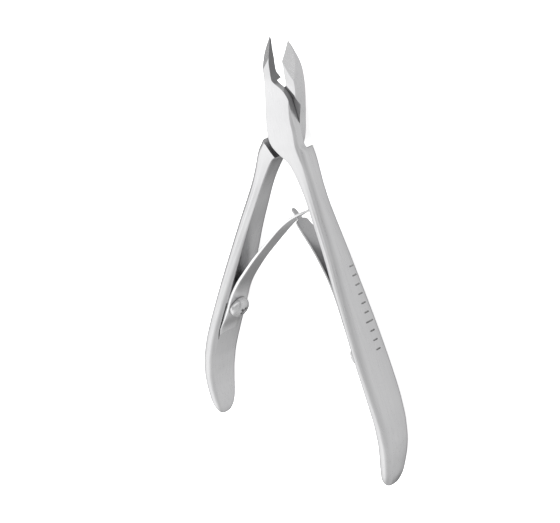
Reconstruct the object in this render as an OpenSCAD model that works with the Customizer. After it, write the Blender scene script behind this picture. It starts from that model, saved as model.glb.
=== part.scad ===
// Cuticle nipper lying on its back, in millimetres.
// +Z is the pivot axis and the front face, +Y points to the jaws.
// The origin is under the middle of the tool, on the surface it lies on.
// It is drawn at rest, fully open, with both leaf springs hooked together.

/* [Levers] */
// Half of the angle between the two levers at rest, in degrees
open_half = 9; // [4:0.5:12]
// Clear gap between the two lapped joint halves
lap_gap = 0.06; // [0.02:0.01:0.2]
// Distance of each cutting edge from the closing plane
edge_gap = 0.012; // [0:0.002:0.05]

/* [Pivot] */
// Radius of the pivot pin
pin_r = 1.8; // [1.2:0.1:2.2]
// Running clearance of the pin in the rear half
pin_clear = 0.04; // [0.01:0.01:0.1]
// Radius of the countersunk pin head on the back
pin_head_r = 2.6; // [2.2:0.1:3]
// Depth of the blind pin bore in the front half
pin_depth = 1.35; // [1:0.05:1.5]

/* [Springs] */
// Thickness of each leaf spring at its foot
leaf_foot_t = 0.8; // [0.6:0.05:1.2]
// Thickness of each leaf spring at its tip
leaf_tip_t = 0.5; // [0.4:0.05:0.9]
// Half width of the slot near the tip of the left spring
slot_half = 0.85; // [0.7:0.05:1.2]
// Half length of that slot
slot_reach = 1.6; // [1.2:0.1:2.4]

/* [Screws] */
// Radius of the domed screw head
head_r = 2.4; // [1.8:0.1:2.8]
// Height of the domed screw head
head_h = 2.4; // [1.4:0.1:2.6]
// Radius of the screw shank
shank_r = 1; // [0.8:0.05:1.2]
// Length of shank held in the handle
shank_grip = 2.1; // [1.5:0.1:2.4]

/* [Hidden] */
$fn = 48;
steel = [0.80, 0.81, 0.82];
spring_steel = [0.72, 0.73, 0.74];
screw_steel = [0.76, 0.77, 0.78];
mid_y = -32.163;
back_z = -4.42;
screw_y = -53.2;
leaf_lift = 0.02;

// Outline of the front half with the tool closed, from jaw tip to handle end.
// y, x of the four corners (left front, right front, right back, left back),
// z of the front and back faces, left and right corner radii.
RIB = [
 [16.57, -0.14, -0.00, -0.05, -0.14, 0.66, 0.50, 0.02, 0.02],
 [16.1, -0.38, -0.00, -0.12, -0.38, 0.81, 0.33, 0.03, 0.02],
 [15.5, -0.78, -0.00, -0.28, -0.76, 1.00, 0.12, 0.06, 0.02],
 [15.0, -1.16, -0.00, -0.45, -1.14, 1.16, 0.00, 0.10, 0.02],
 [14.0, -1.82, -0.00, -0.85, -1.82, 1.48, -0.30, 0.15, 0.02],
 [13.0, -2.34, -0.00, -1.25, -2.36, 1.79, -0.65, 0.18, 0.02],
 [12.5, -2.50, -0.00, -1.45, -2.54, 1.95, -0.82, 0.20, 0.02],
 [11.3, -2.78, -0.36, -1.85, -2.80, 1.88, -1.20, 0.20, 0.03],
 [10.0, -2.98, -0.58, -2.18, -2.98, 1.75, -1.42, 0.20, 0.04],
 [9.0, -3.14, -0.75, -2.25, -3.14, 1.62, -1.50, 0.20, 0.05],
 [8.3, -3.28, -0.87, -1.95, -3.30, 1.52, -1.50, 0.20, 0.06],
 [7.6, -3.44, -0.90, -1.20, -3.44, 1.46, -1.46, 0.20, 0.08],
 [6.9, -3.55, -0.60, -0.65, -3.55, 1.45, -1.45, 0.20, 0.08],
 [6.4, -3.61, -0.05, -0.05, -3.61, 1.45, -1.45, 0.20, 0.08],
 [5.75, -3.68, 0.75, 0.75, -3.68, 1.47, -1.47, 0.20, 0.08],
 [4.8, -3.80, 1.60, 1.60, -3.80, 1.52, -1.52, 0.20, 0.08],
 [3.8, -3.94, 2.22, 2.22, -3.94, 1.58, -1.58, 0.20, 0.10],
 [2.6, -4.08, 2.72, 2.72, -4.08, 1.70, -1.70, 0.22, 0.12],
 [1.4, -4.20, 3.10, 3.10, -4.20, 1.82, -1.82, 0.22, 0.16],
 [0.3, -4.33, 3.42, 3.42, -4.33, 1.92, -1.92, 0.24, 0.22],
 [-0.9, -4.43, 3.68, 3.68, -4.43, 1.98, -1.98, 0.24, 0.30],
 [-2.0, -4.53, 3.95, 3.95, -4.53, 2.03, -2.03, 0.24, 0.36],
 [-3.2, -4.60, 4.15, 4.15, -4.60, 2.07, -2.07, 0.24, 0.40],
 [-4.2, -4.62, 4.22, 4.22, -4.62, 2.10, -2.10, 0.24, 0.42],
 [-5.0, -4.56, 4.25, 4.25, -4.56, 2.12, -2.12, 0.24, 0.44],
 [-5.8, -4.38, 4.30, 4.30, -4.38, 2.15, -2.15, 0.24, 0.46],
 [-6.4, -4.18, 4.38, 4.38, -4.18, 2.17, -2.17, 0.24, 0.52],
 [-6.9, -3.90, 4.62, 4.62, -3.90, 2.19, -2.19, 0.24, 0.74],
 [-7.3, -3.60, 4.98, 4.98, -3.60, 2.20, -2.20, 0.24, 1.05],
 [-7.9, -3.00, 5.33, 5.33, -3.00, 2.21, -2.21, 0.24, 1.30],
 [-8.75, -1.95, 5.58, 5.58, -1.95, 2.23, -2.23, 0.26, 1.34],
 [-9.55, -0.72, 5.77, 5.77, -0.72, 2.24, -2.24, 0.28, 1.34],
 [-10.2, 0.18, 5.90, 5.90, 0.18, 2.24, -2.24, 0.30, 1.28],
 [-11.0, 0.90, 6.04, 6.04, 0.90, 2.23, -2.23, 0.32, 1.30],
 [-12.0, 1.45, 6.20, 6.20, 1.45, 2.21, -2.21, 0.36, 1.30],
 [-13.0, 1.88, 6.36, 6.36, 1.88, 2.19, -2.19, 0.40, 1.30],
 [-15.5, 2.82, 6.76, 6.76, 2.82, 2.15, -2.15, 0.40, 1.30],
 [-18.0, 3.65, 7.24, 7.24, 3.65, 2.17, -2.17, 0.40, 1.30],
 [-21.0, 4.48, 7.92, 7.92, 4.48, 2.28, -2.28, 0.40, 1.30],
 [-24.0, 5.23, 8.68, 8.68, 5.23, 2.45, -2.45, 0.40, 1.32],
 [-31.0, 7.02, 10.46, 10.46, 7.02, 2.87, -2.87, 0.42, 1.35],
 [-38.0, 8.60, 11.98, 11.98, 8.60, 3.45, -3.45, 0.44, 1.38],
 [-46.0, 10.51, 13.76, 13.76, 10.51, 3.98, -3.98, 0.46, 1.40],
 [-50.0, 11.44, 14.62, 14.62, 11.44, 4.20, -4.20, 0.46, 1.40],
 [-54.0, 12.37, 15.48, 15.48, 12.37, 4.36, -4.36, 0.46, 1.40],
 [-58.0, 13.29, 16.38, 16.38, 13.29, 4.42, -4.42, 0.46, 1.40],
 [-62.0, 14.13, 17.22, 17.22, 14.13, 4.42, -4.42, 0.46, 1.38],
 [-66.0, 14.77, 17.88, 17.88, 14.77, 4.28, -4.28, 0.46, 1.36],
 [-69.0, 15.06, 18.18, 18.18, 15.06, 4.14, -4.14, 0.46, 1.34],
 [-72.0, 15.04, 18.14, 18.14, 15.04, 3.97, -3.97, 0.46, 1.32],
 [-75.0, 14.67, 17.74, 17.74, 14.67, 3.75, -3.75, 0.48, 1.30],
 [-79.0, 13.72, 16.68, 16.68, 13.72, 3.26, -3.26, 0.55, 1.28],
 [-81.0, 13.26, 16.05, 16.05, 13.26, 2.86, -2.86, 0.65, 1.25],
 [-82.4, 13.06, 15.36, 15.36, 13.06, 2.32, -2.32, 0.75, 1.10],
 [-83.3, 13.14, 14.74, 14.74, 13.14, 1.66, -1.66, 0.70, 0.76],
 [-83.7, 13.36, 14.26, 14.26, 13.36, 1.04, -1.04, 0.40, 0.42],
 [-83.85, 13.62, 14.00, 14.00, 13.62, 0.50, -0.50, 0.15, 0.15]];

// Centre line of each leaf spring beside its own closed handle:
// x, y, half width, share of the way from foot thickness to tip thickness.
LEFT_LEAF = [
 [14.78, -62.9, 1.2, 0], [14.64, -62.3, 2.2, 0], [14.40, -61.4, 2.75, 0], [13.84, -59.4, 2.9, 0],
 [12.54, -56, 2.9, 0], [11.93, -54, 2.88, 0], [11.19, -50.8, 2.8, 0.03], [10.68, -49, 2.7, 0.08],
 [9.70, -46.3, 2.5, 0.16], [7.54, -42.0, 2.28, 0.3], [4.99, -37.5, 2.22, 0.42], [2.18, -33.1, 2.26, 0.55],
 [-0.12, -29.6, 2.30, 0.66], [-1.72, -27.25, 2.32, 0.75], [-3.50, -24.9, 2.3, 0.85],
 [-5.62, -22.52, 2.15, 0.93], [-7.3, -21.0, 1.85, 0.96], [-8.75, -19.8, 1.3, 1],
 [-9.35, -19.33, 0.8, 1], [-9.65, -19.1, 0.3, 1]];
RIGHT_LEAF = [
 [14.78, -62.9, 1.2, 0], [14.64, -62.3, 2.2, 0], [14.40, -61.4, 2.75, 0], [13.84, -59.4, 2.9, 0],
 [12.54, -56, 2.9, 0], [11.93, -54, 2.88, 0], [11.19, -50.8, 2.82, 0.03], [9.98, -45.7, 2.7, 0.15],
 [8.92, -41.2, 2.6, 0.28], [7.40, -36.7, 2.5, 0.42], [5.36, -32.64, 2.35, 0.55],
 [3.43, -29.5, 2.2, 0.68], [1.82, -27.4, 2.05, 0.78], [0.29, -25.5, 1.9, 0.86],
 [-0.5, -24.5, 1.75, 0.9], [-0.88, -24.02, 1.35, 0.92], [-1.06, -23.8, 0.62, 0.94],
 [-1.59, -23.14, 0.6, 0.96], [-2.45, -22.16, 0.58, 1], [-2.78, -21.79, 0.42, 1],
 [-2.93, -21.63, 0.14, 1]];

// Monotone cubic through the rows of a table, columns after the first.
function gap_of(T, i) = T[i + 1][0] - T[i][0];
function rise(T, i, c) = (T[i + 1][c] - T[i][c]) / gap_of(T, i);
function slope(T, i, c) = let (n = len(T) - 1)
    i == 0 ? rise(T, 0, c) : i == n ? rise(T, n - 1, c) :
    let (a = rise(T, i - 1, c), b = rise(T, i, c), h = gap_of(T, i - 1), k = gap_of(T, i),
         p = 2 * k + h, q = k + 2 * h)
    a * b <= 0 ? 0 : (p + q) / (p / a + q / b);
function cell(T, u, i = 0) = i >= len(T) - 2 || u <= T[i + 1][0] ? i : cell(T, u, i + 1);
function at(T, u, i, c) = let (h = gap_of(T, i), s = (u - T[i][0]) / h,
    m = slope(T, i, c) * h, n = slope(T, i + 1, c) * h,
    p = T[i][c], q = T[i + 1][c])
    p + s * (m + s * (3 * (q - p) - 2 * m - n + s * (m + n - 2 * (q - p))));
function row_at(T, u) = let (i = cell(T, u)) [for (c = [1 : len(T[0]) - 1]) at(T, u, i, c)];

// One rounded corner of a rib: three points from the incoming to the outgoing side.
function toward(p, q, r) = let (d = norm(q - p)) d < 0.0001 ? p : p + (q - p) * min(r / d, 0.46);
function corner(p, q, s, r) = let (a = toward(q, p, r), b = toward(q, s, r))
    [for (t = [0, 1 / 3, 2 / 3, 1]) (1 - t) * (1 - t) * a + 2 * t * (1 - t) * q + t * t * b];
function rib(v) = let (
    lf = [v[0], v[4]], rf = [v[1], v[4]], rb = [v[2], v[5]], lb = [v[3], v[5]],
    a = corner(lb, lf, rf, v[6]), b = corner(lf, rf, rb, v[7]),
    c = corner(rf, rb, lb, v[7]), d = corner(rb, lb, lf, v[6]))
    concat(a, b, c, d);

// Skin a stack of equal rings into one closed solid.
module skin(rings) {
    n = len(rings[0]);
    m = len(rings);
    polyhedron(
        points = [for (r = rings) each r],
        faces = concat(
            [[for (i = [0 : n - 1]) i]],
            [for (k = [0 : m - 2]) for (i = [0 : n - 1]) let (j = (i + 1) % n)
                each [[k * n + i, (k + 1) * n + i, (k + 1) * n + j],
                      [k * n + i, (k + 1) * n + j, k * n + j]]],
            [[for (i = [n - 1 : -1 : 0]) (m - 1) * n + i]]));
}

// Rib stations: every table row, with long bays split.
DEPTH = [for (r = RIB) concat([-r[0]], [for (c = [1 : 8]) r[c]])];
STATIONS = [for (i = [0 : len(DEPTH) - 2])
    let (a = DEPTH[i][0], b = DEPTH[i + 1][0], k = max(1, ceil((b - a) / (a > 14 ? 2 : 1.1))))
    for (j = [0 : k - 1]) a + (b - a) * j / k];

// Hand finishing leaves the outer side of the joint a little fuller on one half.
function lean(u) = max(0, 1 - pow((u + 3.2) / 8.5, 2));
function fuller(v, k) = [v[0] - k, v[1], v[2], v[3] - k, v[4], v[5], v[6], v[7]];
module full_lever(k) {
    all_u = concat(STATIONS, [DEPTH[len(DEPTH) - 1][0]]);
    difference() {
        skin([for (u = all_u) let (r = rib(fuller(row_at(DEPTH, u), k * lean(u))), n = len(r) - 1)
            [for (i = [n : -1 : 0]) [r[i][0] - edge_gap, -u, r[i][1]]]]);
        bevel();
    }
}

// Ground bevel that meets the inner face in the cutting edge.
function bevel_z(x, y) = 5.913 + 0.40 * x - 0.317 * y;
module bevel() {
    low = [for (p = [[-6, 8.6], [1, 8.6], [1, 17.6], [-6, 17.6]]) [p[0], p[1], bevel_z(p[0], p[1])]];
    polyhedron(
        points = concat(low, [for (p = low) [p[0], p[1], 6]]),
        faces = [[0, 1, 2, 3], [7, 6, 5, 4], [0, 4, 5, 1], [1, 5, 6, 2], [2, 6, 7, 3], [3, 7, 4, 0]]);
}

// Area of the other half's joint, as seen from the front with the tool closed.
module lap_area(front) {
    d = front ? 0 : 0.45;
    polygon([[-9, 3.2], [-3.85, 5.85], [-0.95, 7.35], [1.5, 8.6], [9, 8.6], [9, -7.35 - d], [5.4, -7.4 - d],
             [4.3, -7.5 - d * 0.8], [3.65, -7.8 - d * 0.4], [3.0, -8.3], [2.3, -8.8], [1.5, -9.32], [0.7, -9.8],
             [-0.6, -10.6], [-9, -15]]);
}

// The jaw's shoulder leans into the lap on its outer side, so a wedge of it is kept.
module shoulder_keep(front) {
    s = front ? -1 : 1;
    z = s * (lap_gap / 2 + 0.01);
    polyhedron(points = [[-0.95, 7.35, -z], [-4.4, 3.42, -z], [-4.4, 5.57, -z], [-4.4, 5.57, s * 1.78]],
        faces = front ? [[0, 1, 2], [0, 3, 1], [1, 3, 2], [2, 3, 0]] : [[0, 2, 1], [0, 1, 3], [1, 2, 3], [2, 0, 3]]);
}

// Point and inward direction of the spring screw on a handle's inner face.
screw_in = row_at(DEPTH, -screw_y)[0] - edge_gap;
screw_slope = (row_at(DEPTH, -screw_y + 1)[0] - row_at(DEPTH, -screw_y - 1)[0]) / 2;
module at_screw() {
    translate([screw_in, screw_y, 0]) rotate([0, 0, atan(screw_slope)]) rotate([0, -90, 0]) children();
}

// Pocket for the sunk foot of a spring.
module foot_pocket(L) {
    T = leaf_table(L);
    us = [for (i = [0 : 5]) for (k = [0 : 2]) T[i][0] + (T[i + 1][0] - T[i][0]) * k / 3];
    g = leaf_foot_t / 2 + 0.04;
    edge = [for (u = us) let (v = row_at(T, u), p = row_at(T, max(0, u - 0.05)), q = row_at(T, u + 0.05),
        n = [p[1] - q[1], q[0] - p[0]] / norm([q[0] - p[0], q[1] - p[1]])) [[v[0], v[1]] + n * g, [v[0], v[1]] - n * g]];
    linear_extrude(height = 5.9, center = true) polygon(concat([for (e = edge) e[0]],
        [for (i = [len(edge) - 1 : -1 : 0]) edge[i][1]]));
}

module half_lever(front) {
    s = front ? -1 : 1;
    difference() {
        full_lever(front ? -0.12 : 0.32);
        difference() {
            translate([0, 0, s * (5 - lap_gap / 2)]) linear_extrude(height = 10, center = true) lap_area(front);
            shoulder_keep(front);
        }
        foot_pocket(front ? RIGHT_LEAF : LEFT_LEAF);
        at_screw() translate([0, 0, -shank_grip - 0.3])
            cylinder(r = shank_r, h = shank_grip + 1);
        if (front) {
            translate([0, 0, -1]) cylinder(r = pin_r, h = pin_depth + 1);
        } else {
            translate([0, 0, -6]) cylinder(r = pin_r + pin_clear, h = 8);
            translate([0, 0, -1.95]) cylinder(r1 = pin_head_r + pin_clear, r2 = pin_r + pin_clear, h = 0.75);
            translate([0, 0, -4.9]) cylinder(r = pin_head_r + pin_clear, h = 2.96);
        }
    }
}

// Everything designed closed is opened here and set on the surface it lies on.
module front_side() { translate([0, -mid_y, -back_z]) rotate([0, 0, open_half]) children(); }
module rear_side() { translate([0, -mid_y, -back_z]) rotate([0, 0, -open_half]) mirror([1, 0, 0]) children(); }

module front_half() { color(steel) front_side() half_lever(true); }
module rear_half() { color(steel) rear_side() half_lever(false); }

module pivot_pin() {
    color(screw_steel) front_side() rotate_extrude()
        polygon([[0, pin_depth - 0.02], [pin_r - 0.15, pin_depth - 0.02], [pin_r, pin_depth - 0.17],
                 [pin_r, -1.2], [pin_head_r, -1.95], [pin_head_r, -2.02], [pin_head_r * 0.8, -2.12],
                 [pin_head_r * 0.5, -2.18], [0, -2.2]]);
}

// Leaf springs: a thin rounded strip swept along its centre line.
function reach(L, i) = i == 0 ? 0 : reach(L, i - 1) + norm([L[i][0] - L[i - 1][0], L[i][1] - L[i - 1][1]]);
function leaf_table(L) = [for (i = [0 : len(L) - 1]) [reach(L, i), L[i][0], L[i][1], L[i][2], L[i][3]]];
function strip(v, d, grow) = let (
    n = [-d[1], d[0]] / norm(d), t = (leaf_foot_t + (leaf_tip_t - leaf_foot_t) * v[3]) / 2 + grow,
    w = v[2] + grow, e = min(0.12, w * 0.4, t * 0.5))
    [for (q = [[t, w - e], [t - e, w], [e - t, w], [-t, w - e], [-t, e - w], [e - t, -w], [t - e, -w], [t, e - w]])
        [v[0] + n[0] * q[0], v[1] + n[1] * q[0], q[1]]];
module leaf(L, grow = 0) {
    T = leaf_table(L);
    end = T[len(T) - 1][0];
    us = [for (i = [0 : len(T) - 2]) let (a = T[i][0], b = T[i + 1][0], k = max(1, ceil((b - a) / 1.4)))
        for (j = [0 : k - 1]) a + (b - a) * j / k];
    skin([for (u = concat(us, [end])) let (
        v = row_at(T, u), p = row_at(T, max(0, u - 0.05)), q = row_at(T, min(end, u + 0.05)))
        strip(v, [q[0] - p[0], q[1] - p[1]], grow)]);
}

module left_spring() {
    color(spring_steel) rear_side() difference() {
        leaf(LEFT_LEAF);
        at_screw() translate([0, 0, -2]) cylinder(r = shank_r + 0.1, h = 5);
        translate([-5.64, -22.5, 0]) rotate([0, 0, 134]) {
            cube([2 * (slot_reach - slot_half * 0.5), 3, 2 * slot_half], center = true);
            for (s = [-1, 1]) translate([s * (slot_reach - slot_half * 0.5), 0, 0]) rotate([90, 0, 0])
                cylinder(r = slot_half, h = 3, center = true);
        }
    }
}
module right_spring() {
    color(spring_steel) front_side() difference() {
        leaf(RIGHT_LEAF);
        at_screw() translate([0, 0, -2]) cylinder(r = shank_r + 0.1, h = 5);
    }
}

// Domed screw with a cross recess, its head on the spring's foot.
module leaf_screw() {
    seat = leaf_foot_t + leaf_lift + 0.02;
    difference() {
        rotate_extrude() polygon([
            [0, -shank_grip], [shank_r - 0.2, -shank_grip], [shank_r, 0.2 - shank_grip], [shank_r, seat],
            [head_r - 0.1, seat], [head_r, seat + 0.1], [head_r, seat + head_h * 0.35],
            [head_r * 0.95, seat + head_h * 0.58], [head_r * 0.8, seat + head_h * 0.79],
            [head_r * 0.55, seat + head_h * 0.94], [head_r * 0.28, seat + head_h * 0.99], [0, seat + head_h]]);
        for (a = [45, 135]) rotate([0, 0, a]) translate([0, 0, seat + head_h])
            cube([2.5, 0.5, 1.5], center = true);
        translate([0, 0, seat + head_h - 1.2]) cylinder(r1 = 0.25, r2 = 0.75, h = 1.3);
    }
}
module left_spring_screw() { color(screw_steel) rear_side() at_screw() leaf_screw(); }
module right_spring_screw() { color(screw_steel) front_side() at_screw() leaf_screw(); }

front_half();
rear_half();
pivot_pin();
left_spring();
right_spring();
left_spring_screw();
right_spring_screw();
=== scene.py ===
import math

import bpy
import numpy as np
from mathutils import Matrix, Vector


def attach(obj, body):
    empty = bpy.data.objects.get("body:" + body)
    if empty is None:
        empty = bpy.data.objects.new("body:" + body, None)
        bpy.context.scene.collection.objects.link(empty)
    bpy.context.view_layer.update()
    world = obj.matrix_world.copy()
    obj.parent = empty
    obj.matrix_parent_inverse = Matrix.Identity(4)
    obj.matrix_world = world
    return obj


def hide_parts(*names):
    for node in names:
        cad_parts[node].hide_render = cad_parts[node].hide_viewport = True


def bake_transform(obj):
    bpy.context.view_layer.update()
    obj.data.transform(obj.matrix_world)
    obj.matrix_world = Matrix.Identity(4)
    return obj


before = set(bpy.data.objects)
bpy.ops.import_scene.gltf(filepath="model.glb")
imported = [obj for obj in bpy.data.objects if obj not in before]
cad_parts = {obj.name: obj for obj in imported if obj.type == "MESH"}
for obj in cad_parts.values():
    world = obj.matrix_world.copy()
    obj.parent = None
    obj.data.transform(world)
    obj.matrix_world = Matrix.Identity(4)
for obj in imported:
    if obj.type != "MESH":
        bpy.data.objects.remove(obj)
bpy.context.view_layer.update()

# ---------------------------------------------------------------- shared sizes, in millimetres
OPEN_HALF = math.radians(9.0)
MID_Y, BACK_Z = -32.163, -4.42
EDGE_GAP = 0.012
LAP_GAP = 0.06
SCREW_Y = -53.2
FOOT_T, TIP_T = 0.8, 0.5
SEAT = FOOT_T + 0.04
SHANK_GRIP = 2.1
HEAD_R, HEAD_H = 2.55, 2.1

# Outline of one lever with the tool closed: y, x of the four corners, z of front and back, corner radii.
RIB = [
    (16.57, -0.14, -0.0, -0.05, -0.14, 0.66, 0.5, 0.02, 0.02),
    (16.1, -0.38, -0.0, -0.12, -0.38, 0.81, 0.33, 0.03, 0.02),
    (15.5, -0.78, -0.0, -0.28, -0.76, 1.0, 0.12, 0.06, 0.02),
    (15.0, -1.16, -0.0, -0.45, -1.14, 1.16, 0.0, 0.1, 0.02),
    (14.0, -1.82, -0.0, -0.85, -1.82, 1.48, -0.3, 0.15, 0.02),
    (13.0, -2.34, -0.0, -1.25, -2.36, 1.79, -0.65, 0.18, 0.02),
    (12.5, -2.5, -0.0, -1.45, -2.54, 1.95, -0.82, 0.2, 0.02),
    (11.3, -2.78, -0.36, -1.85, -2.8, 1.88, -1.2, 0.2, 0.03),
    (10.0, -2.98, -0.58, -2.18, -2.98, 1.75, -1.42, 0.2, 0.04),
    (9.0, -3.14, -0.75, -2.25, -3.14, 1.62, -1.5, 0.2, 0.05),
    (8.3, -3.28, -0.87, -1.95, -3.3, 1.52, -1.5, 0.2, 0.06),
    (7.6, -3.44, -0.9, -1.2, -3.44, 1.46, -1.46, 0.2, 0.08),
    (6.9, -3.55, -0.6, -0.65, -3.55, 1.45, -1.45, 0.2, 0.08),
    (6.4, -3.61, -0.05, -0.05, -3.61, 1.45, -1.45, 0.2, 0.08),
    (5.75, -3.68, 0.75, 0.75, -3.68, 1.47, -1.47, 0.2, 0.08),
    (4.8, -3.8, 1.6, 1.6, -3.8, 1.52, -1.52, 0.2, 0.08),
    (3.8, -3.94, 2.22, 2.22, -3.94, 1.58, -1.58, 0.2, 0.1),
    (2.6, -4.08, 2.72, 2.72, -4.08, 1.7, -1.7, 0.22, 0.12),
    (1.4, -4.2, 3.1, 3.1, -4.2, 1.82, -1.82, 0.22, 0.16),
    (0.3, -4.33, 3.42, 3.42, -4.33, 1.92, -1.92, 0.24, 0.22),
    (-0.9, -4.43, 3.68, 3.68, -4.43, 1.98, -1.98, 0.24, 0.3),
    (-2.0, -4.53, 3.95, 3.95, -4.53, 2.03, -2.03, 0.24, 0.36),
    (-3.2, -4.6, 4.15, 4.15, -4.6, 2.07, -2.07, 0.24, 0.4),
    (-4.2, -4.62, 4.22, 4.22, -4.62, 2.1, -2.1, 0.24, 0.42),
    (-5.0, -4.56, 4.25, 4.25, -4.56, 2.12, -2.12, 0.24, 0.44),
    (-5.8, -4.38, 4.3, 4.3, -4.38, 2.15, -2.15, 0.24, 0.46),
    (-6.4, -4.18, 4.38, 4.38, -4.18, 2.17, -2.17, 0.24, 0.52),
    (-6.9, -3.9, 4.62, 4.62, -3.9, 2.19, -2.19, 0.24, 0.74),
    (-7.3, -3.6, 4.98, 4.98, -3.6, 2.2, -2.2, 0.24, 1.05),
    (-7.9, -3.0, 5.33, 5.33, -3.0, 2.21, -2.21, 0.24, 1.3),
    (-8.75, -1.95, 5.58, 5.58, -1.95, 2.23, -2.23, 0.26, 1.34),
    (-9.55, -0.72, 5.77, 5.77, -0.72, 2.24, -2.24, 0.28, 1.34),
    (-10.2, 0.18, 5.9, 5.9, 0.18, 2.24, -2.24, 0.3, 1.28),
    (-11.0, 0.9, 6.04, 6.04, 0.9, 2.23, -2.23, 0.32, 1.3),
    (-12.0, 1.45, 6.2, 6.2, 1.45, 2.21, -2.21, 0.36, 1.3),
    (-13.0, 1.88, 6.36, 6.36, 1.88, 2.19, -2.19, 0.4, 1.3),
    (-15.5, 2.82, 6.76, 6.76, 2.82, 2.15, -2.15, 0.4, 1.3),
    (-18.0, 3.65, 7.24, 7.24, 3.65, 2.17, -2.17, 0.4, 1.3),
    (-21.0, 4.48, 7.92, 7.92, 4.48, 2.28, -2.28, 0.4, 1.3),
    (-24.0, 5.23, 8.68, 8.68, 5.23, 2.45, -2.45, 0.4, 1.32),
    (-31.0, 7.02, 10.46, 10.46, 7.02, 2.87, -2.87, 0.42, 1.35),
    (-38.0, 8.6, 11.98, 11.98, 8.6, 3.45, -3.45, 0.44, 1.38),
    (-46.0, 10.51, 13.76, 13.76, 10.51, 3.98, -3.98, 0.46, 1.4),
    (-50.0, 11.44, 14.62, 14.62, 11.44, 4.2, -4.2, 0.46, 1.4),
    (-54.0, 12.37, 15.48, 15.48, 12.37, 4.36, -4.36, 0.46, 1.4),
    (-58.0, 13.29, 16.38, 16.38, 13.29, 4.42, -4.42, 0.46, 1.4),
    (-62.0, 14.13, 17.22, 17.22, 14.13, 4.42, -4.42, 0.46, 1.38),
    (-66.0, 14.77, 17.88, 17.88, 14.77, 4.28, -4.28, 0.46, 1.36),
    (-69.0, 15.06, 18.18, 18.18, 15.06, 4.14, -4.14, 0.46, 1.34),
    (-72.0, 15.04, 18.14, 18.14, 15.04, 3.97, -3.97, 0.46, 1.32),
    (-75.0, 14.67, 17.74, 17.74, 14.67, 3.75, -3.75, 0.48, 1.3),
    (-79.0, 13.72, 16.68, 16.68, 13.72, 3.26, -3.26, 0.55, 1.28),
    (-81.0, 13.26, 16.05, 16.05, 13.26, 2.86, -2.86, 0.65, 1.25),
    (-82.4, 13.06, 15.36, 15.36, 13.06, 2.32, -2.32, 0.75, 1.1),
    (-83.3, 13.14, 14.74, 14.74, 13.14, 1.66, -1.66, 0.7, 0.76),
    (-83.7, 13.36, 14.26, 14.26, 13.36, 1.04, -1.04, 0.4, 0.42),
    (-83.85, 13.62, 14.0, 14.0, 13.62, 0.5, -0.5, 0.15, 0.15),
]

LEFT_LEAF = [
    (14.78, -62.9, 1.2, 0),
    (14.64, -62.3, 2.2, 0),
    (14.4, -61.4, 2.75, 0),
    (13.84, -59.4, 2.9, 0),
    (12.54, -56, 2.9, 0),
    (11.93, -54, 2.88, 0),
    (11.19, -50.8, 2.8, 0.03),
    (10.68, -49, 2.7, 0.08),
    (9.7, -46.3, 2.5, 0.16),
    (7.54, -42.0, 2.28, 0.3),
    (4.99, -37.5, 2.22, 0.42),
    (2.18, -33.1, 2.26, 0.55),
    (-0.12, -29.6, 2.3, 0.66),
    (-1.72, -27.25, 2.32, 0.75),
    (-3.5, -24.9, 2.3, 0.85),
    (-5.62, -22.52, 2.15, 0.93),
    (-7.3, -21.0, 1.85, 0.96),
    (-8.75, -19.8, 1.3, 1),
    (-9.35, -19.33, 0.8, 1),
    (-9.65, -19.1, 0.3, 1),
]

RIGHT_LEAF = [
    (14.78, -62.9, 1.2, 0),
    (14.64, -62.3, 2.2, 0),
    (14.4, -61.4, 2.75, 0),
    (13.84, -59.4, 2.9, 0),
    (12.54, -56, 2.9, 0),
    (11.93, -54, 2.88, 0),
    (11.19, -50.8, 2.82, 0.03),
    (9.98, -45.7, 2.7, 0.15),
    (8.92, -41.2, 2.6, 0.28),
    (7.4, -36.7, 2.5, 0.42),
    (5.36, -32.64, 2.35, 0.55),
    (3.43, -29.5, 2.2, 0.68),
    (1.82, -27.4, 2.05, 0.78),
    (0.29, -25.5, 1.9, 0.86),
    (-0.5, -24.5, 1.75, 0.9),
    (-0.88, -24.02, 1.35, 0.92),
    (-1.06, -23.8, 0.62, 0.94),
    (-1.59, -23.14, 0.6, 0.96),
    (-2.45, -22.16, 0.58, 1),
    (-2.78, -21.79, 0.42, 1),
    (-2.93, -21.63, 0.14, 1),
]


# ---------------------------------------------------------------- table maths
def pchip(table):
    """Monotone cubic through the rows, as the CAD has it."""
    t = np.array(table, float)
    x, y = t[:, 0], t[:, 1:]
    h = np.diff(x)
    d = np.diff(y, axis=0) / h[:, None]
    m = np.zeros_like(y)
    m[0], m[-1] = d[0], d[-1]
    for i in range(1, len(x) - 1):
        p, q = 2 * h[i] + h[i - 1], h[i] + 2 * h[i - 1]
        a, b = d[i - 1], d[i]
        ok = a * b > 0
        m[i][ok] = (p + q) / (p / a[ok] + q / b[ok])

    def at(u):
        u = min(max(u, x[0]), x[-1])
        i = min(int(np.searchsorted(x, u, side="right")) - 1, len(x) - 2)
        s = (u - x[i]) / h[i]
        a, b = m[i] * h[i], m[i + 1] * h[i]
        p, q = y[i], y[i + 1]
        return p + s * (a + s * (3 * (q - p) - 2 * a - b + s * (a + b - 2 * (q - p))))

    return at


LEVER_AT = pchip([(-r[0],) + tuple(r[1:]) for r in RIB])


def rounded_corner(p, q, s, r_in, r_out, n, push):
    """n points round the corner q, from the side p-q (r_in back along it) to the side q-s (r_out along it)."""
    def toward(a, b, r):
        d = np.linalg.norm(b - a)
        return a if d < 1e-6 else a + (b - a) * min(r / d, 0.48)
    a, b = toward(q, p, r_in), toward(q, s, r_out)
    out = []
    for k in range(n):
        t = k / (n - 1)
        c = (1 - t) ** 2 + 2 * t * (1 - t) * push + t * t
        out.append(((1 - t) ** 2 * a + 2 * t * (1 - t) * push * q + t * t * b) / c)
    return out


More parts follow.
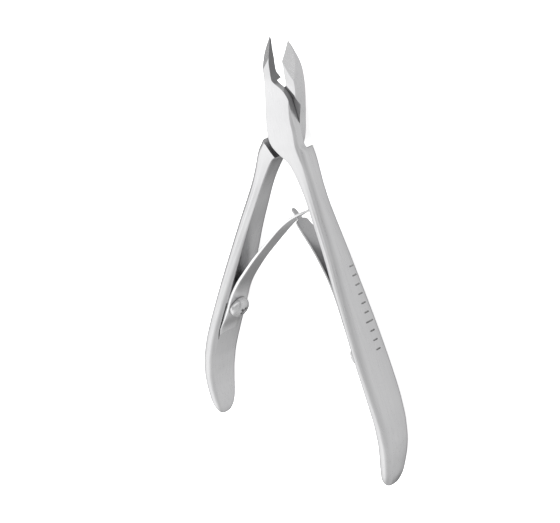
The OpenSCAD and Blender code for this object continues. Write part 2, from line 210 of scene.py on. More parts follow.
def crowned(p, q, n, crown):
    """n points between p and q, bowed outwards a little, ends left out."""
    d = q - p
    l = max(np.linalg.norm(d), 1e-9)
    nrm = np.array([-d[1], d[0]]) / l
    return [p + d * t + nrm * crown * 4 * t * (1 - t) for t in [(k + 1) / (n + 1) for k in range(n)]]


def smooth(t):
    t = min(1.0, max(0.0, t))
    return t * t * (3 - 2 * t)


# The front half's throat has a corner on its front edge: u, how far out it stands.
THROAT = ((-7.3, 0.0), (-6.0, 0.55), (-5.1, 0.84), (-3.25, 1.02), (-2.25, 0.66), (-0.4, 0.27), (1.6, 0.0))


def lever_ring(u, fuller):
    v = LEVER_AT(u)
    k = fuller * max(0.0, 1 - ((u + 3.2) / 8.5) ** 2)
    reach = 0.35 * smooth((-u - 9) / 7.5)
    corner = 0.0
    if fuller > 0:
        k += 0.26 * smooth((-u - 2.5) / 3.5) * (1 - smooth((-u - 15) / 1.6)) - 0.24 * smooth((u + 3) / 3) * (1 - smooth((u - 5) / 3))
    else:
        corner = float(np.interp(u, [a for a, _ in THROAT], [b for _, b in THROAT]))
    xlf, xrf, xrb, xlb, zf, zb, rl, rr = v
    grip = smooth((u - 8) / 16)
    hump = smooth((u + 4) / 5) * (1 - smooth((u - 7) / 5))
    tuck = 0.38 * math.exp(-((u - 7.6) / 2.4) ** 2) if fuller > 0 else 0.0
    out = 0.30 * grip * (1 - smooth((u - 79) / 4))
    lf, rf = np.array([xlf - k, zf]), np.array([xrf + out - tuck + corner, zf])
    rb, lb = np.array([xrb - tuck, zb]), np.array([xlb - k, zb])
    width, depth = xrf - xlf, zf - zb
    ease = grip * (1 - 0.5 * smooth((u - 79) / 4))
    late = smooth((u - 20) / 26)
    a_in, a_out = rl + late * ease * 0.13 * depth, rl + (0.25 + 0.75 * late) * ease * 0.30 * width
    b_in, b_out = rr + ease * 0.16 * width + 0.45 * hump, rr + ease * 0.17 * depth + 0.25 * hump
    a = rounded_corner(lb, lf, rf, a_in, a_out, 13, 0.76)
    b = rounded_corner(lf, rf, rb, b_in, b_out, 17, 0.76)
    c = rounded_corner(rf, rb, lb, rr + 0.3 * grip, rr + 0.1 * grip, 13, 0.8)
    d = rounded_corner(rb, lb, lf, rl + 0.2 * grip, rl + 0.4 * grip, 11, 0.8)
    w1, w2 = np.linalg.norm(b[0] - a[-1]), np.linalg.norm(c[0] - b[-1])
    ring = a + crowned(a[-1], b[0], 5, (0.006 + 0.07 * grip) * w1) + b + crowned(b[-1], c[0], 7, (0.006 + 0.02 * grip) * w2)
    ring += c + crowned(c[-1], d[0], 5, (0.004 + 0.03 * grip) * w1) + d + crowned(d[-1], a[0], 7, 0.010 * w2 * grip)
    return [(p[0] - EDGE_GAP, -u + reach, p[1]) for p in ring]


def mesh(name, verts, faces):
    me = bpy.data.meshes.new(name)
    me.from_pydata([tuple(v) for v in verts], [], faces)
    me.validate()
    me.update()
    o = bpy.data.objects.new(name, me)
    bpy.context.scene.collection.objects.link(o)
    return o


def skin(name, rings, cap=True):
    n, m = len(rings[0]), len(rings)
    verts = [p for r in rings for p in r]
    faces = []
    for k in range(m - 1):
        for i in range(n):
            j = (i + 1) % n
            faces.append((k * n + i, k * n + j, (k + 1) * n + j, (k + 1) * n + i))
    if cap:
        for base, flip in ((0, True), ((m - 1) * n, False)):
            c = len(verts)
            verts.append(tuple(np.mean([verts[base + i] for i in range(n)], axis=0)))
            for i in range(n):
                j = (i + 1) % n
                faces.append((base + j, base + i, c) if flip else (base + i, base + j, c))
    o = mesh(name, verts, faces)
    fix_normals(o)
    return o


def fix_normals(o):
    import bmesh
    bm = bmesh.new()
    bm.from_mesh(o.data)
    bmesh.ops.recalc_face_normals(bm, faces=bm.faces)
    if bm.calc_volume(signed=True) < 0:
        bmesh.ops.reverse_faces(bm, faces=bm.faces)
    bm.to_mesh(o.data)
    bm.free()
    o.data.update()


def prism(name, outline, z0, z1):
    n = len(outline)
    verts = [(x, y, z0) for x, y in outline] + [(x, y, z1) for x, y in outline]
    faces = [tuple(range(n))[::-1], tuple(range(n, 2 * n))]
    faces += [(i, (i + 1) % n, n + (i + 1) % n, n + i) for i in range(n)]
    o = mesh(name, verts, faces)
    fix_normals(o)
    return o


def lathe(name, profile, seg=96):
    """Turns (r, z) pairs about Z. Points on the axis are shared."""
    verts, rows = [], []
    for r, z in profile:
        if r < 1e-9:
            rows.append([len(verts)])
            verts.append((0, 0, z))
        else:
            rows.append(list(range(len(verts), len(verts) + seg)))
            verts += [(r * math.cos(2 * math.pi * i / seg), r * math.sin(2 * math.pi * i / seg), z) for i in range(seg)]
    faces = []
    for a, b in zip(rows, rows[1:]):
        for i in range(seg):
            j = (i + 1) % seg
            if len(a) == 1 and len(b) == 1:
                continue
            if len(a) == 1:
                faces.append((a[0], b[i], b[j]))
            elif len(b) == 1:
                faces.append((a[i], b[0], a[j]))
            else:
                faces.append((a[i], b[i], b[j], a[j]))
    o = mesh(name, verts, faces)
    fix_normals(o)
    return o


def move(o, m):
    o.data.transform(m)
    if m.determinant() < 0:
        o.data.flip_normals()
    o.data.update()
    return o


def cut(o, tools, op="DIFFERENCE"):
    for t in tools:
        mod = o.modifiers.new("cut", "BOOLEAN")
        mod.operation, mod.solver, mod.object = op, "EXACT", t
        if hasattr(mod, "material_mode"):
            mod.material_mode = "TRANSFER"
        bpy.context.view_layer.update()
        dg = bpy.context.evaluated_depsgraph_get()
        me = bpy.data.meshes.new_from_object(o.evaluated_get(dg), preserve_all_data_layers=True, depsgraph=dg)
        o.modifiers.clear()
        old = o.data
        o.data = me
        bpy.data.meshes.remove(old)
        bpy.data.objects.remove(t)
    return o


def finish_mesh(o, name, angle=32):
    o.name = name
    o.data.name = name
    for p in o.data.polygons:
        p.use_smooth = True
    o.data.set_sharp_from_angle(angle=math.radians(angle))
    return o

# ---------------------------------------------------------------- light levels
# The room as steel mirrors it: an even grey with soft lobes: name, direction, dot where it starts and is full, gain.
WORLD = 0.78
LOBES = [
    ("key", (-0.48, -0.59, 0.65), 0.75, 0.99, 0.62),
    ("key_strip", (-0.79, 0.02, 0.61), 0.88, 1.0, 0.80),
    ("dark_low", (-0.57, -0.37, -0.74), 0.50, 0.98, -0.33),
    ("dark_front", (-0.06, -0.72, -0.69), 0.92, 1.0, -0.36),
    ("front_low", (0.17, -0.70, 0.69), 0.88, 1.0, 0.25),
    ("front_dark", (-0.03, -1.0, 0.09), 0.75, 0.99, -0.15),
    ("behind", (-0.25, 0.86, 0.45), 0.50, 0.98, 0.60),
    ("bounce", (0.91, -0.03, -0.42), 0.75, 0.99, 0.12),
    ("left_dark", (-0.94, 0.10, 0.31), 0.88, 1.0, -0.74),
    ("top_right", (0.55, 0.30, 0.78), 0.88, 1.0, -0.17),
    ("top_left", (-0.42, -0.05, 0.91), 0.88, 1.0, -0.40),
    ("far_right", (0.77, 0.61, -0.19), 0.88, 1.0, 0.15),
]
LIGHTS = [
    # name, direction, distance, size, radiance, seen in steel, lights the floor
    ("floor_fill", (-0.15, -0.05, 1.0), 0.9, (1.6, 1.6), 1.6, False, True),
]

# ---------------------------------------------------------------- materials
def new_material(name):
    m = bpy.data.materials.new(name)
    m.use_nodes = True
    nt = m.node_tree
    bsdf = next(n for n in nt.nodes if n.type == "BSDF_PRINCIPLED")
    return m, nt, bsdf


def steel(name, base, rough, turn=0.0, grain=0.5, edge=0.4, ao_shade=0.15, radial=None, bevel=0.00008, jaw_shade=None):
    """Brushed steel, with painted shade darkening its colour in occluded crevices. turn is the grain's direction about
    Z; radial is the centre of a turned face.
    """
    m, nt, bsdf = new_material(name)
    N, L = nt.nodes, nt.links

    def node(kind, **kw):
        n = N.new(kind)
        for k, v in kw.items():
            setattr(n, k, v)
        return n

    def ramp(src, a, b, lo, hi):
        r = node("ShaderNodeMapRange")
        r.inputs["From Min"].default_value, r.inputs["From Max"].default_value = a, b
        r.inputs["To Min"].default_value, r.inputs["To Max"].default_value = lo, hi
        L.new(src, r.inputs["Value"])
        return r.outputs["Result"]

    def math_op(op, a, b):
        n = node("ShaderNodeMath", operation=op)
        for i, v in enumerate((a, b)):
            if isinstance(v, (int, float)):
                n.inputs[i].default_value = v
            else:
                L.new(v, n.inputs[i])
        return n.outputs[0]

    tc = node("ShaderNodeTexCoord")
    turned = node("ShaderNodeMapping")
    turned.inputs["Rotation"].default_value = (0, 0, -turn)
    L.new(tc.outputs["Object"], turned.inputs["Vector"])
    # fine grain: long along Y, short across
    stretch = node("ShaderNodeMapping")
    stretch.inputs["Scale"].default_value = (9000, 500, 9000)
    L.new(turned.outputs["Vector"], stretch.inputs["Vector"])
    fine = node("ShaderNodeTexNoise")
    fine.inputs["Scale"].default_value = 1.0
    fine.inputs["Detail"].default_value = 4.0
    L.new(stretch.outputs["Vector"], fine.inputs["Vector"])
    stretch2 = node("ShaderNodeMapping")
    stretch2.inputs["Scale"].default_value = (2200, 90, 2200)
    L.new(turned.outputs["Vector"], stretch2.inputs["Vector"])
    coarse = node("ShaderNodeTexNoise")
    coarse.inputs["Scale"].default_value = 1.0
    coarse.inputs["Detail"].default_value = 3.0
    L.new(stretch2.outputs["Vector"], coarse.inputs["Vector"])
    blotch = node("ShaderNodeTexNoise")
    blotch.inputs["Scale"].default_value = 170.0
    blotch.inputs["Detail"].default_value = 4.0
    L.new(tc.outputs["Object"], blotch.inputs["Vector"])
    specks = node("ShaderNodeTexNoise")
    specks.inputs["Scale"].default_value = 4200.0
    specks.inputs["Detail"].default_value = 2.0
    L.new(tc.outputs["Object"], specks.inputs["Vector"])

    # edges: where a rounded normal leaves the true one
    geo = node("ShaderNodeNewGeometry")
    bev = node("ShaderNodeBevel", samples=6)
    bev.inputs["Radius"].default_value = bevel * 2.2
    dot = node("ShaderNodeVectorMath", operation="DOT_PRODUCT")
    L.new(bev.outputs["Normal"], dot.inputs[0])
    L.new(geo.outputs["Normal"], dot.inputs[1])
    worn = ramp(dot.outputs["Value"], 0.995, 0.90, 0.0, 1.0)
    worn = math_op("MULTIPLY", worn, ramp(blotch.outputs["Fac"], 0.35, 0.6, 0.3, 1.0))

    # painted shade: ambient occlusion over 0.7 mm finds crevices, seams and recesses, where the colour below is
    # darkened; the same mask also raises the roughness
    ao = node("ShaderNodeAmbientOcclusion", samples=6)
    ao.inputs["Distance"].default_value = 0.0007
    occluded = ramp(ao.outputs["AO"], 0.25, 0.8, 1.0, 0.0)

    # colour
    tint = node("ShaderNodeMix", data_type="RGBA", blend_type="MIX")
    c = base
    tint.inputs["A"].default_value = (c[0] * 0.97, c[1] * 0.97, c[2] * 0.973, 1)
    tint.inputs["B"].default_value = (min(1, c[0] * 1.03), min(1, c[1] * 1.03), min(1, c[2] * 1.03), 1)
    mixed = math_op("ADD", math_op("MULTIPLY", coarse.outputs["Fac"], 0.55), math_op("MULTIPLY", blotch.outputs["Fac"], 0.45))
    L.new(ramp(mixed, 0.38, 0.62, 0.0, 1.0), tint.inputs["Factor"])
    worn_mix = node("ShaderNodeMix", data_type="RGBA", blend_type="MIX")
    worn_mix.inputs["B"].default_value = (min(1, c[0] * 1.25), min(1, c[1] * 1.25), min(1, c[2] * 1.25), 1)
    L.new(tint.outputs["Result"], worn_mix.inputs["A"])
    L.new(math_op("MULTIPLY", worn, edge), worn_mix.inputs["Factor"])
    # painted shade: the colour is mixed towards a dark copy of the base in occluded spots
    dark = node("ShaderNodeMix", data_type="RGBA", blend_type="MIX")
    dark.inputs["B"].default_value = (c[0] * 0.32, c[1] * 0.31, c[2] * 0.30, 1)
    L.new(worn_mix.outputs["Result"], dark.inputs["A"])
    L.new(math_op("MULTIPLY", occluded, ao_shade), dark.inputs["Factor"])
    colour = dark.outputs["Result"]
    if jaw_shade:
        # painted shade on the jaw's inner faces, which are darkened where they face the other jaw: (side, along, start,
        # full) in the row frame
        across, along, start, full = jaw_shade
        place = node("ShaderNodeVectorMath", operation="SUBTRACT")
        place.inputs[1].default_value = (0, 0.032163, 0)
        L.new(tc.outputs["Object"], place.inputs[0])
        up_jaw = node("ShaderNodeVectorMath", operation="DOT_PRODUCT")
        up_jaw.inputs[1].default_value = along
        L.new(place.outputs["Vector"], up_jaw.inputs[0])
        facing = node("ShaderNodeVectorMath", operation="DOT_PRODUCT")
        facing.inputs[1].default_value = across
        L.new(geo.outputs["Normal"], facing.inputs[0])
        jaw_shade_zone = math_op("MULTIPLY", ramp(up_jaw.outputs["Value"], start, full, 0.0, 1.0),
                       ramp(facing.outputs["Value"], 0.3, 0.6, 0.0, 1.0))
        jaw_shade_mix = node("ShaderNodeMix", data_type="RGBA", blend_type="MIX")
        jaw_shade_mix.inputs["B"].default_value = (c[0] * 0.36, c[1] * 0.36, c[2] * 0.365, 1)
        L.new(colour, jaw_shade_mix.inputs["A"])
        L.new(jaw_shade_zone, jaw_shade_mix.inputs["Factor"])
        colour = jaw_shade_mix.outputs["Result"]
    L.new(colour, bsdf.inputs["Base Color"])
    bsdf.inputs["Metallic"].default_value = 1.0

    # roughness
    r = math_op("ADD", ramp(fine.outputs["Fac"], 0.3, 0.7, rough - 0.05 * grain, rough + 0.06 * grain),
                ramp(coarse.outputs["Fac"], 0.35, 0.65, -0.03 * grain, 0.03 * grain))
    r = math_op("SUBTRACT", r, math_op("MULTIPLY", worn, 0.06))
    r = math_op("ADD", r, math_op("MULTIPLY", occluded, 0.15))
    L.new(r, bsdf.inputs["Roughness"])
    if "Anisotropic" in bsdf.inputs:
        bsdf.inputs["Anisotropic"].default_value = 0.0

    # relief: grain, a satin speckle and rounded edges
    height = math_op("ADD", math_op("MULTIPLY", fine.outputs["Fac"], 0.6), math_op("MULTIPLY", coarse.outputs["Fac"], 0.5))
    height = math_op("ADD", height, math_op("MULTIPLY", specks.outputs["Fac"], 0.12))
    if radial:
        shift = node("ShaderNodeMapping")
        shift.inputs["Location"].default_value = (-radial[0], -radial[1], -radial[2])
        L.new(tc.outputs["Object"], shift.inputs["Vector"])
        sep = node("ShaderNodeVectorMath", operation="LENGTH")
        flat = node("ShaderNodeVectorMath", operation="MULTIPLY")
        flat.inputs[1].default_value = (1, 1, 0)
        L.new(shift.outputs["Vector"], flat.inputs[0])
        L.new(flat.outputs["Vector"], sep.inputs[0])
        wave = math_op("SINE", math_op("MULTIPLY", sep.outputs["Value"], 2 * math.pi / 0.00016), 0)
        height = math_op("ADD", height, math_op("MULTIPLY", wave, 0.25))
    bump = node("ShaderNodeBump")
    bump.inputs["Strength"].default_value = 0.13 * grain
    bump.inputs["Distance"].default_value = 0.000012
    L.new(height, bump.inputs["Height"])
    soft = node("ShaderNodeBevel", samples=6)
    soft.inputs["Radius"].default_value = bevel
    L.new(soft.outputs["Normal"], bump.inputs["Normal"])
    L.new(bump.outputs["Normal"], bsdf.inputs["Normal"])
    return m


TURN = math.radians(20)
C9, S9 = math.cos(OPEN_HALF), math.sin(OPEN_HALF)
FRONT_STEEL = steel("front_steel", (0.60, 0.60, 0.605), 0.30, turn=TURN, jaw_shade=((C9, S9, 0), (-S9, C9, 0), 0.0046, 0.0068))
REAR_STEEL = steel("rear_steel", (0.60, 0.60, 0.605), 0.30, turn=-TURN, jaw_shade=((-C9, S9, 0), (S9, C9, 0), 0.0046, 0.0068))
# painted shade: a darker copy of the steel for the lap faces, pin bores, leaf seats and the groove by the leaf's foot,
# standing in for the shade in these seams and gaps
SHADED_LAP_STEEL = steel("shaded_lap_steel", (0.37, 0.37, 0.375), 0.36, turn=math.radians(70), grain=0.9, ao_shade=0.7)
GROUND_STEEL = steel("ground_edge_steel", (0.73, 0.73, 0.735), 0.27, turn=math.radians(80), grain=0.08)
ETCHED = steel("etched_steel", (0.42, 0.42, 0.42), 0.5, grain=1.2, edge=0.1, ao_shade=0.3)
# painted light: the left leaf gets a lighter and the right leaf a darker copy of the same spring steel, standing in for
# how light falls on each
LIT_LEAF_STEEL = steel("lit_leaf_steel", (0.82, 0.82, 0.825), 0.28, turn=math.radians(45), grain=0.10, bevel=0.00004)
SHADED_RIGHT_LEAF_STEEL = steel("shaded_right_leaf_steel", (0.45, 0.45, 0.455), 0.28, turn=math.radians(-60), grain=0.12, bevel=0.00004)
SCREW_STEEL = steel("screw_head_steel", (0.60, 0.60, 0.605), 0.27, grain=0.2, edge=0.2, ao_shade=0.6)
PIN_STEEL = steel("pin_face_steel", (0.56, 0.56, 0.57), 0.24, radial=(0, 0.032163, 0), grain=0.7)


def paint(o, m):
    o.data.materials.clear()
    o.data.materials.append(m)
    return o


# ---------------------------------------------------------------- frames
SHIFT = Matrix.Translation((0, -MID_Y, -BACK_Z))
FRONT = Matrix.Scale(0.001, 4) @ SHIFT @ Matrix.Rotation(OPEN_HALF, 4, "Z")
REAR = Matrix.Scale(0.001, 4) @ SHIFT @ Matrix.Rotation(-OPEN_HALF, 4, "Z") @ Matrix.Scale(-1, 4, (1, 0, 0))


def screw_frame():
    x = LEVER_AT(-SCREW_Y)[0] - EDGE_GAP
    slope = (LEVER_AT(-SCREW_Y + 1)[0] - LEVER_AT(-SCREW_Y - 1)[0]) / 2
    return (Matrix.Translation((x, SCREW_Y, 0)) @ Matrix.Rotation(math.atan(slope), 4, "Z")
            @ Matrix.Rotation(math.radians(-90), 4, "Y"))


AT_SCREW = screw_frame()

# ---------------------------------------------------------------- leaf springs
def leaf_centre(table):
    t = np.array(table, float)
    s = np.concatenate([[0], np.cumsum(np.hypot(*np.diff(t[:, :2], axis=0).T))])
    return pchip([(s[i],) + tuple(t[i]) for i in range(len(t))]), s[-1]


def leaf_rings(table, step, grow=0.0, until=None):
    at, end = leaf_centre(table)
    last = end if until is None else min(end, until)
    n = max(2, int(math.ceil(last / step)))
    rings = []
    for k in range(n + 1):
        u = last * k / n
        v, p, q = at(u), at(max(0, u - 0.05)), at(min(end, u + 0.05))
        d = (q - p)[:2]
        d = d / np.linalg.norm(d)
        nx, ny = -d[1], d[0]
        t = (FOOT_T + (TIP_T - FOOT_T) * v[3]) / 2 + grow
        w = v[2] + grow
        e = min(0.2, w * 0.45, t * 0.62)
        ring = []
        for sx, sz, a0 in ((1, 1, 0), (-1, 1, 90), (-1, -1, 180), (1, -1, 270)):
            for j in range(6):
                a = math.radians(a0 + 90 * j / 5)
                ring.append((sx * (t - e) + e * math.cos(a), sz * (w - e) + e * math.sin(a)))
        full = []
        for i, (a, b) in enumerate(zip(ring, ring[1:] + ring[:1])):
            full.append(a)
            if i % 6 == 5:
                m = 6 if i in (5, 17) and False else (6 if abs(a[0] - b[0]) < abs(a[1] - b[1]) else 2)
                full += [(a[0] + (b[0] - a[0]) * f / (m + 1), a[1] + (b[1] - a[1]) * f / (m + 1)) for f in range(1, m + 1)]
        rings.append([(v[0] + nx * a, v[1] + ny * a, z) for a, z in full])
    return rings


def stadium(half_len, r, n=16):
    c = half_len - r
    pts = [(c + r * math.cos(a), r * math.sin(a)) for a in np.linspace(-math.pi / 2, math.pi / 2, n)]
    return pts + [(-x, -y) for x, y in pts]


def slot_tool():
    o = paint(prism("slot_tool", stadium(2.025, 0.85, 24), -1.5, 1.5), LIT_LEAF_STEEL)
    return move(o, Matrix.Translation((-5.64, -22.5, 0)) @ Matrix.Rotation(math.radians(134), 4, "Z")
                @ Matrix.Rotation(math.radians(90), 4, "X"))


def screw_tool(r, z0, z1, m):
    o = paint(lathe("bore_tool", [(0, z0), (r, z0), (r, z1), (0, z1)], 64), m)
    return move(o, AT_SCREW)


left_leaf = paint(skin("left_leaf", leaf_rings(LEFT_LEAF, 0.16)), LIT_LEAF_STEEL)
cut(left_leaf, [slot_tool(), screw_tool(1.1, -2, 3, LIT_LEAF_STEEL)])
right_leaf = paint(skin("right_leaf", leaf_rings(RIGHT_LEAF, 0.12)), SHADED_RIGHT_LEAF_STEEL)
cut(right_leaf, [screw_tool(1.1, -2, 3, SHADED_RIGHT_LEAF_STEEL)])

# ---------------------------------------------------------------- levers
def stations():
    us, u = [], -16.57
    while u < 83.85 - 1e-6:
        us.append(u)
        if u < -14 or u > 82.6:
            u += 0.1
        elif u < 15:
            u += 0.25 if abs(u + 3.25) > 0.2 else 0.05
        elif u < 79:
            u += 0.7
        else:
            u += 0.3
    return us + [83.85]


def bevel_z(x, y):
    return 5.913 + 0.40 * x - 0.317 * y


def bevel_tool(m):
    low = [(x, y, bevel_z(x, y)) for x, y in ((-6, 8.6), (1, 8.6), (1, 17.6), (-6, 17.6))]
    verts = low + [(x, y, 6) for x, y, _ in low]
    o = mesh("bevel_tool", verts, [(0, 1, 2, 3), (7, 6, 5, 4), (0, 4, 5, 1), (1, 5, 6, 2), (2, 6, 7, 3), (3, 7, 4, 0)])
    fix_normals(o)
    return paint(o, m)


def lap_tool(front, m):
    d = 0 if front else 0.45
    outline = [(-9, 3.2), (-3.85, 5.85), (-0.95, 7.35), (1.5, 8.6), (9, 8.6), (9, -7.35 - d), (5.4, -7.4 - d),
               (4.3, -7.5 - d * 0.8), (3.65, -7.8 - d * 0.4), (3.0, -8.3), (2.3, -8.8), (1.5, -9.32), (0.7, -9.8),
               (-0.6, -10.6), (-9, -15)]
    z = (-9.97, 0.03) if front else (-0.03, 9.97)
    o = paint(prism("lap_tool", outline, *z), m)
    # the jaw's shoulder leans into the lap on its outer side
    b, t = (0.04, -1.78) if front else (-0.04, 1.78)
    keep = mesh("shoulder_keep", [(-0.95, 7.35, b), (-4.4, 3.42, b), (-4.4, 5.57, b), (-4.4, 5.57, t)],
                [(0, 1, 2), (0, 3, 1), (1, 3, 2), (2, 3, 0)])
    fix_normals(keep)
    return cut(o, [paint(keep, m)])


def foot_tools(table, m):
    """The leaf's seat, which runs out where the leaf dips into the handle, and a fine groove along its front edge; the
    dark steel they are cut with paints shade on their walls.
    """
    seat = leaf_rings(table, 0.4, 0.008, 11.5)[5:]
    at, end = leaf_centre(table)
    groove = []
    for u in np.linspace(0.2, 11.5, 40):
        v, p, q = at(u), at(u - 0.05), at(u + 0.05)
        d = (q - p)[:2] / np.linalg.norm((q - p)[:2])
        t, low = FOOT_T / 2 + 0.25, max(v[2], 2.72)
        high = low + GROOVE * smooth((u + 0.6) / 2.4)
        groove.append([(v[0] - d[1] * a, v[1] + d[0] * a, z) for a, z in ((t, low), (t, high), (-t, high), (-t, low))])
    return [paint(skin("foot_tool", seat), m), paint(skin("groove_tool", groove), m)]


def tick_tools():
    """Plain engraved ticks on the outer side of the front half's handle."""
    out = []
    rows = [(u, 0.72) for u in TICKS]
    for i, (u, half) in enumerate(rows):
        if i == TICKS_LONG:
            half = 1.15
        x = LEVER_AT(u)[1] - EDGE_GAP
        a = math.atan((LEVER_AT(u + 1)[1] - LEVER_AT(u - 1)[1]) / 2)
        o = paint(prism("tick_tool", stadium(half, 0.17, 8), -0.10, 0.5), ETCHED)
        # stadium X -> Z, its Y -> along the handle, its Z -> out of the side
        m = Matrix(((0, 0, 1, 0), (0, 1, 0, 0), (1, 0, 0, 0), (0, 0, 0, 1)))
        move(o, Matrix.Translation((x, -u, TICK_Z)) @ Matrix.Rotation(a, 4, "Z") @ m)
        fix_normals(o)
        out.append(o)
    return out


GROOVE = 0.30
TICKS = [33.7 + 2.05 * i for i in range(10)]
TICKS_LONG = 6
TICK_Z = -1.35


def lever(name, front):
    skin_steel = FRONT_STEEL if front else REAR_STEEL
    o = skin(name, [lever_ring(u, -0.12 if front else 0.32) for u in stations()])
    max(o.data.vertices, key=lambda v: v.co.y * 1000 - abs(v.index - len(o.data.vertices) + 2)).co.y += 0.35
    paint(o, skin_steel)
    tools = [bevel_tool(GROUND_STEEL), lap_tool(front, SHADED_LAP_STEEL), *foot_tools(RIGHT_LEAF if front else LEFT_LEAF, SHADED_LAP_STEEL),
             screw_tool(1.0, -SHANK_GRIP - 0.3, 1.0, skin_steel)]
    if front:
        tools.append(paint(lathe("pin_tool", [(0, -1), (1.8, -1), (1.8, 1.35), (0, 1.35)], 96), SHADED_LAP_STEEL))
        tools += tick_tools()
    else:
        tools.append(paint(lathe("pin_tool", [(0, 2), (1.84, 2), (1.84, -1.2), (2.64, -1.94), (2.64, -4.9), (0, -4.9)], 96), SHADED_LAP_STEEL))
    cut(o, tools)
    return o


front_lever = lever("front_lever", True)
rear_lever = lever("rear_lever", False)

# ---------------------------------------------------------------- pin and screws
pin = paint(lathe("pin", [(0, 1.33), (1.6, 1.33), (1.72, 1.29), (1.79, 1.18), (1.79, -1.2), (2.59, -1.94), (2.6, -2.0),
                          (2.57, -2.04), (2.45, -2.075), (2.1, -2.12), (1.5, -2.165), (0.9, -2.19), (0.4, -2.2), (0, -2.2)], 128), PIN_STEEL)


def screw(name):
    R, H, s = HEAD_R, HEAD_H, SEAT
    prof = [(0, -SHANK_GRIP), (0.75, -SHANK_GRIP), (0.985, 0.25 - SHANK_GRIP), (0.985, s - 0.002), (R - 0.14, s - 0.002),
            (R - 0.04, s + 0.03), (R, s + 0.12), (R, s + 0.3 * H)]
    for k in range(1, 25):
        a = math.radians(90 * k / 24)
        prof.append((R * max(0.0, math.cos(a)) ** 0.9 if k < 24 else 0.0, s + H * (0.3 + 0.7 * math.sin(a))))
    o = paint(lathe(name, prof, 96), SCREW_STEEL)
    tools = []
    top = s + H
    for a in (45, 135):
        t = paint(prism("arm_tool", [(-1.3, -0.29), (1.3, -0.29), (1.3, 0.29), (-1.3, 0.29)], top - 0.95, top + 0.8), SCREW_STEEL)
        for v in t.data.vertices:
            if v.co.z < top:
                v.co.x *= 0.55
                v.co.y *= 0.8
        tools.append(move(t, Matrix.Rotation(math.radians(a), 4, "Z")))
    tools.append(paint(lathe("point_tool", [(0, top - 1.15), (0.22, top - 0.95), (0.6, top + 0.1), (0, top + 0.1)], 32), SCREW_STEEL))
    return cut(o, tools)


left_screw, right_screw = screw("left_screw"), screw("right_screw")
for o in (left_screw, right_screw):
    move(o, AT_SCREW)

# ---------------------------------------------------------------- place in the row frame and ride
for o in (front_lever, right_leaf, right_screw, pin):
    move(o, FRONT)
for o in (rear_lever, left_leaf, left_screw):
    move(o, REAR)

finish_mesh(front_lever, "front_half_look", 26)
finish_mesh(rear_lever, "rear_half_look", 26)
finish_mesh(left_leaf, "left_spring_look", 40)
finish_mesh(right_leaf, "right_spring_look", 40)
finish_mesh(left_screw, "left_spring_screw_look", 34)
finish_mesh(right_screw, "right_spring_screw_look", 34)
finish_mesh(pin, "pivot_pin_look", 34)

for o, body, node, slot in ((front_lever, "front", "front_half", "satin_steel"), (rear_lever, "rear", "rear_half", "satin_steel"),
                            (pin, "front", "pivot_pin", "pin_steel"),
                            (left_screw, "rear", "left_spring_screw", "screw_steel"),
                            (right_screw, "front", "right_spring_screw", "screw_steel")):
    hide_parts(node)
    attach(o, body)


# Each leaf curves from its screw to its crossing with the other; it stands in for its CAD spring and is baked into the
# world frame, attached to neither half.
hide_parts("left_spring")
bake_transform(left_leaf)
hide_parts("right_spring")
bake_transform(right_leaf)

# ---------------------------------------------------------------- floor, light, camera
floor = mesh("floor", [(-3, -3, -0.00005), (3, -3, -0.00005), (3, 3, -0.00005), (-3, 3, -0.00005)], [(0, 1, 2, 3)])
fm, fnt, fb = new_material("pale_floor")
fb.inputs["Base Color"].default_value = (0.9, 0.9, 0.9, 1)
fb.inputs["Roughness"].default_value = 0.9
fb.inputs["Specular IOR Level"].default_value = 0.0
fb.inputs["Emission Color"].default_value = (1, 1, 1, 1)
fb.inputs["Emission Strength"].default_value = 0.62
paint(floor, fm)
floor.visible_glossy = False

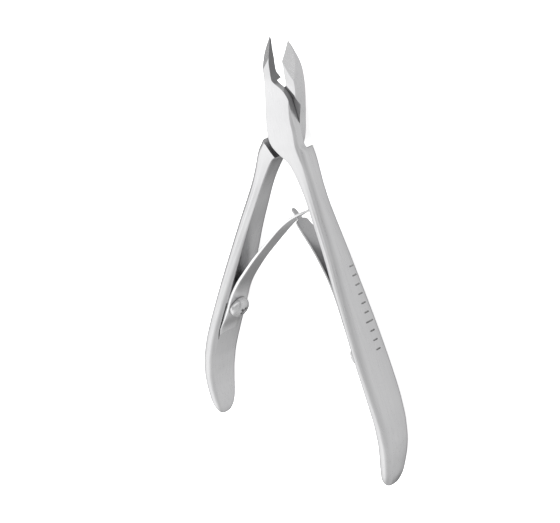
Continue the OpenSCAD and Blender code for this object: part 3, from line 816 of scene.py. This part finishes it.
scene = bpy.context.scene
world = scene.world or bpy.data.worlds.new("world")
scene.world = world
world.use_nodes = True
wt = world.node_tree
bg = next(n for n in wt.nodes if n.type == "BACKGROUND")
sky = wt.nodes.new("ShaderNodeTexCoord")
total = None
for name, way, lo, hi, gain in LOBES:
    dotted = wt.nodes.new("ShaderNodeVectorMath")
    dotted.operation = "DOT_PRODUCT"
    dotted.inputs[1].default_value = tuple(Vector(way).normalized())
    wt.links.new(sky.outputs["Generated"], dotted.inputs[0])
    step = wt.nodes.new("ShaderNodeMapRange")
    step.interpolation_type = "SMOOTHSTEP"
    step.inputs["From Min"].default_value, step.inputs["From Max"].default_value = lo, hi
    step.inputs["To Min"].default_value, step.inputs["To Max"].default_value = 0.0, gain
    wt.links.new(dotted.outputs["Value"], step.inputs["Value"])
    add = wt.nodes.new("ShaderNodeMath")
    add.operation = "ADD"
    add.inputs[1].default_value = WORLD
    if total is not None:
        wt.links.new(total, add.inputs[1])
    wt.links.new(step.outputs["Result"], add.inputs[0])
    total = add.outputs[0]
wt.links.new(total, bg.inputs["Strength"])
bg.inputs["Color"].default_value = (1, 1, 1, 1)


def area(name, direction, distance, size, strength, glossy=True, diffuse=True):
    """Softbox facing the joint. strength is its radiance."""
    data = bpy.data.lights.new(name, "AREA")
    data.shape = "RECTANGLE"
    data.size, data.size_y = size
    data.energy = strength * math.pi * size[0] * size[1]
    o = bpy.data.objects.new(name, data)
    scene.collection.objects.link(o)
    d = Vector(direction).normalized()
    o.location = Vector((0, 0, 0.004)) + d * distance
    o.rotation_mode = "QUATERNION"
    o.rotation_quaternion = d.to_track_quat("Z", "Y")
    o.visible_glossy, o.visible_diffuse = glossy, diffuse
    o.visible_camera = False
    return o


lights = [area(*a) for a in LIGHTS]

YAW, PITCH, ROLL, DIST, PX_MM, PX, PY = 0.8200953, 0.4148574, -0.0630628, 433.173919, 4.71874946, 285.129412, 112.673552
d = np.array([math.sin(YAW) * math.cos(PITCH), math.sin(PITCH), math.cos(YAW) * math.cos(PITCH)])
r = np.cross((0, 1, 0), d)
r /= np.linalg.norm(r)
u = np.cross(d, r)
c, s = math.cos(ROLL), math.sin(ROLL)
right, up = c * r + s * u, -s * r + c * u
ox, oy = (PX - 280) / PX_MM, -(PY - 261.5) / PX_MM
where = (np.array([0, -MID_Y, -BACK_Z]) - ox * right - oy * up + DIST * d) * 0.001
cam_data = bpy.data.cameras.new("camera")
cam = bpy.data.objects.new("camera", cam_data)
scene.collection.objects.link(cam)
cam.matrix_world = Matrix(((right[0], up[0], d[0], where[0]), (right[1], up[1], d[1], where[1]),
                           (right[2], up[2], d[2], where[2]), (0, 0, 0, 1)))
cam_data.sensor_width = 36.0
cam_data.lens = PX_MM * DIST / 560 * 36.0
cam_data.clip_start, cam_data.clip_end = 0.01, 20
scene.camera = cam

scene.view_settings.view_transform = "Standard"
scene.view_settings.look = "None"
scene.view_settings.exposure = 0.0
scene.view_settings.gamma = 1.0
